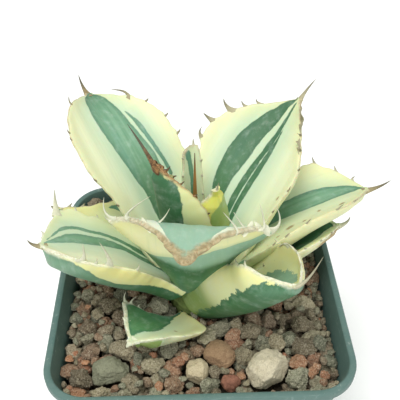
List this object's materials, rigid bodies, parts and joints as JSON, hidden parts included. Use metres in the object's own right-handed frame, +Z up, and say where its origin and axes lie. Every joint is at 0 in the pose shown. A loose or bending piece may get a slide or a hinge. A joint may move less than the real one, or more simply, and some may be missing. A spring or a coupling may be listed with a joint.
{
  "type": "potted agave",
  "caption": "Short rosette of thick, toothed, cream and green striped agave leaves, rooted in coarse gravel in a small square plastic pot.",
  "frame": {"origin": "middle of the pot's underside", "axes": "+Z up; X and Y square to the pot's sides, with the reference view's front of the pot at -Y"},
  "size_m": [0.1157, 0.1055, 0.1411],
  "materials": {
    "pot_plastic": "moulded slate-green plastic, satin, scuffed inside the rim",
    "gravel": "rough porous lava grit in browns, reds and greys",
    "stone_pale": "rough, pale cream-grey",
    "stone_grey_green": "rough, grey-green",
    "stone_cream": "rough, cream",
    "stone_brown": "rough, brown",
    "stone_red": "rough, brick red",
    "leaf": "waxy plant skin, blue-green stripes on cream, soft satin sheen",
    "horn": "dry grey-brown horn, smooth",
    "stem": "dry fibrous plant tissue"
  },
  "bodies": {
    "root": {"pot": "pot_plastic", "stem": "stem", "centre_bud": "horn", "leaf_young_front": "leaf", "leaf_young_back": "leaf", "leaf_centre_left": "leaf", "leaf_front": "leaf", "leaf_back_right": "leaf", "leaf_back_left": "leaf", "leaf_left": "leaf", "leaf_right": "leaf", "leaf_front_right": "leaf", "leaf_back_left_low": "leaf", "leaf_right_low": "leaf", "leaf_front_left_low": "leaf", "leaf_back_low": "leaf", "leaf_back_right_low": "leaf", "leaf_back_mid": "leaf", "stone_pale": "stone_pale", "stone_grey_green": "stone_grey_green", "stone_cream": "stone_cream", "stone_brown": "stone_brown", "stone_red": "stone_red", "gravel": "gravel"}
  },
  "joints": []
}
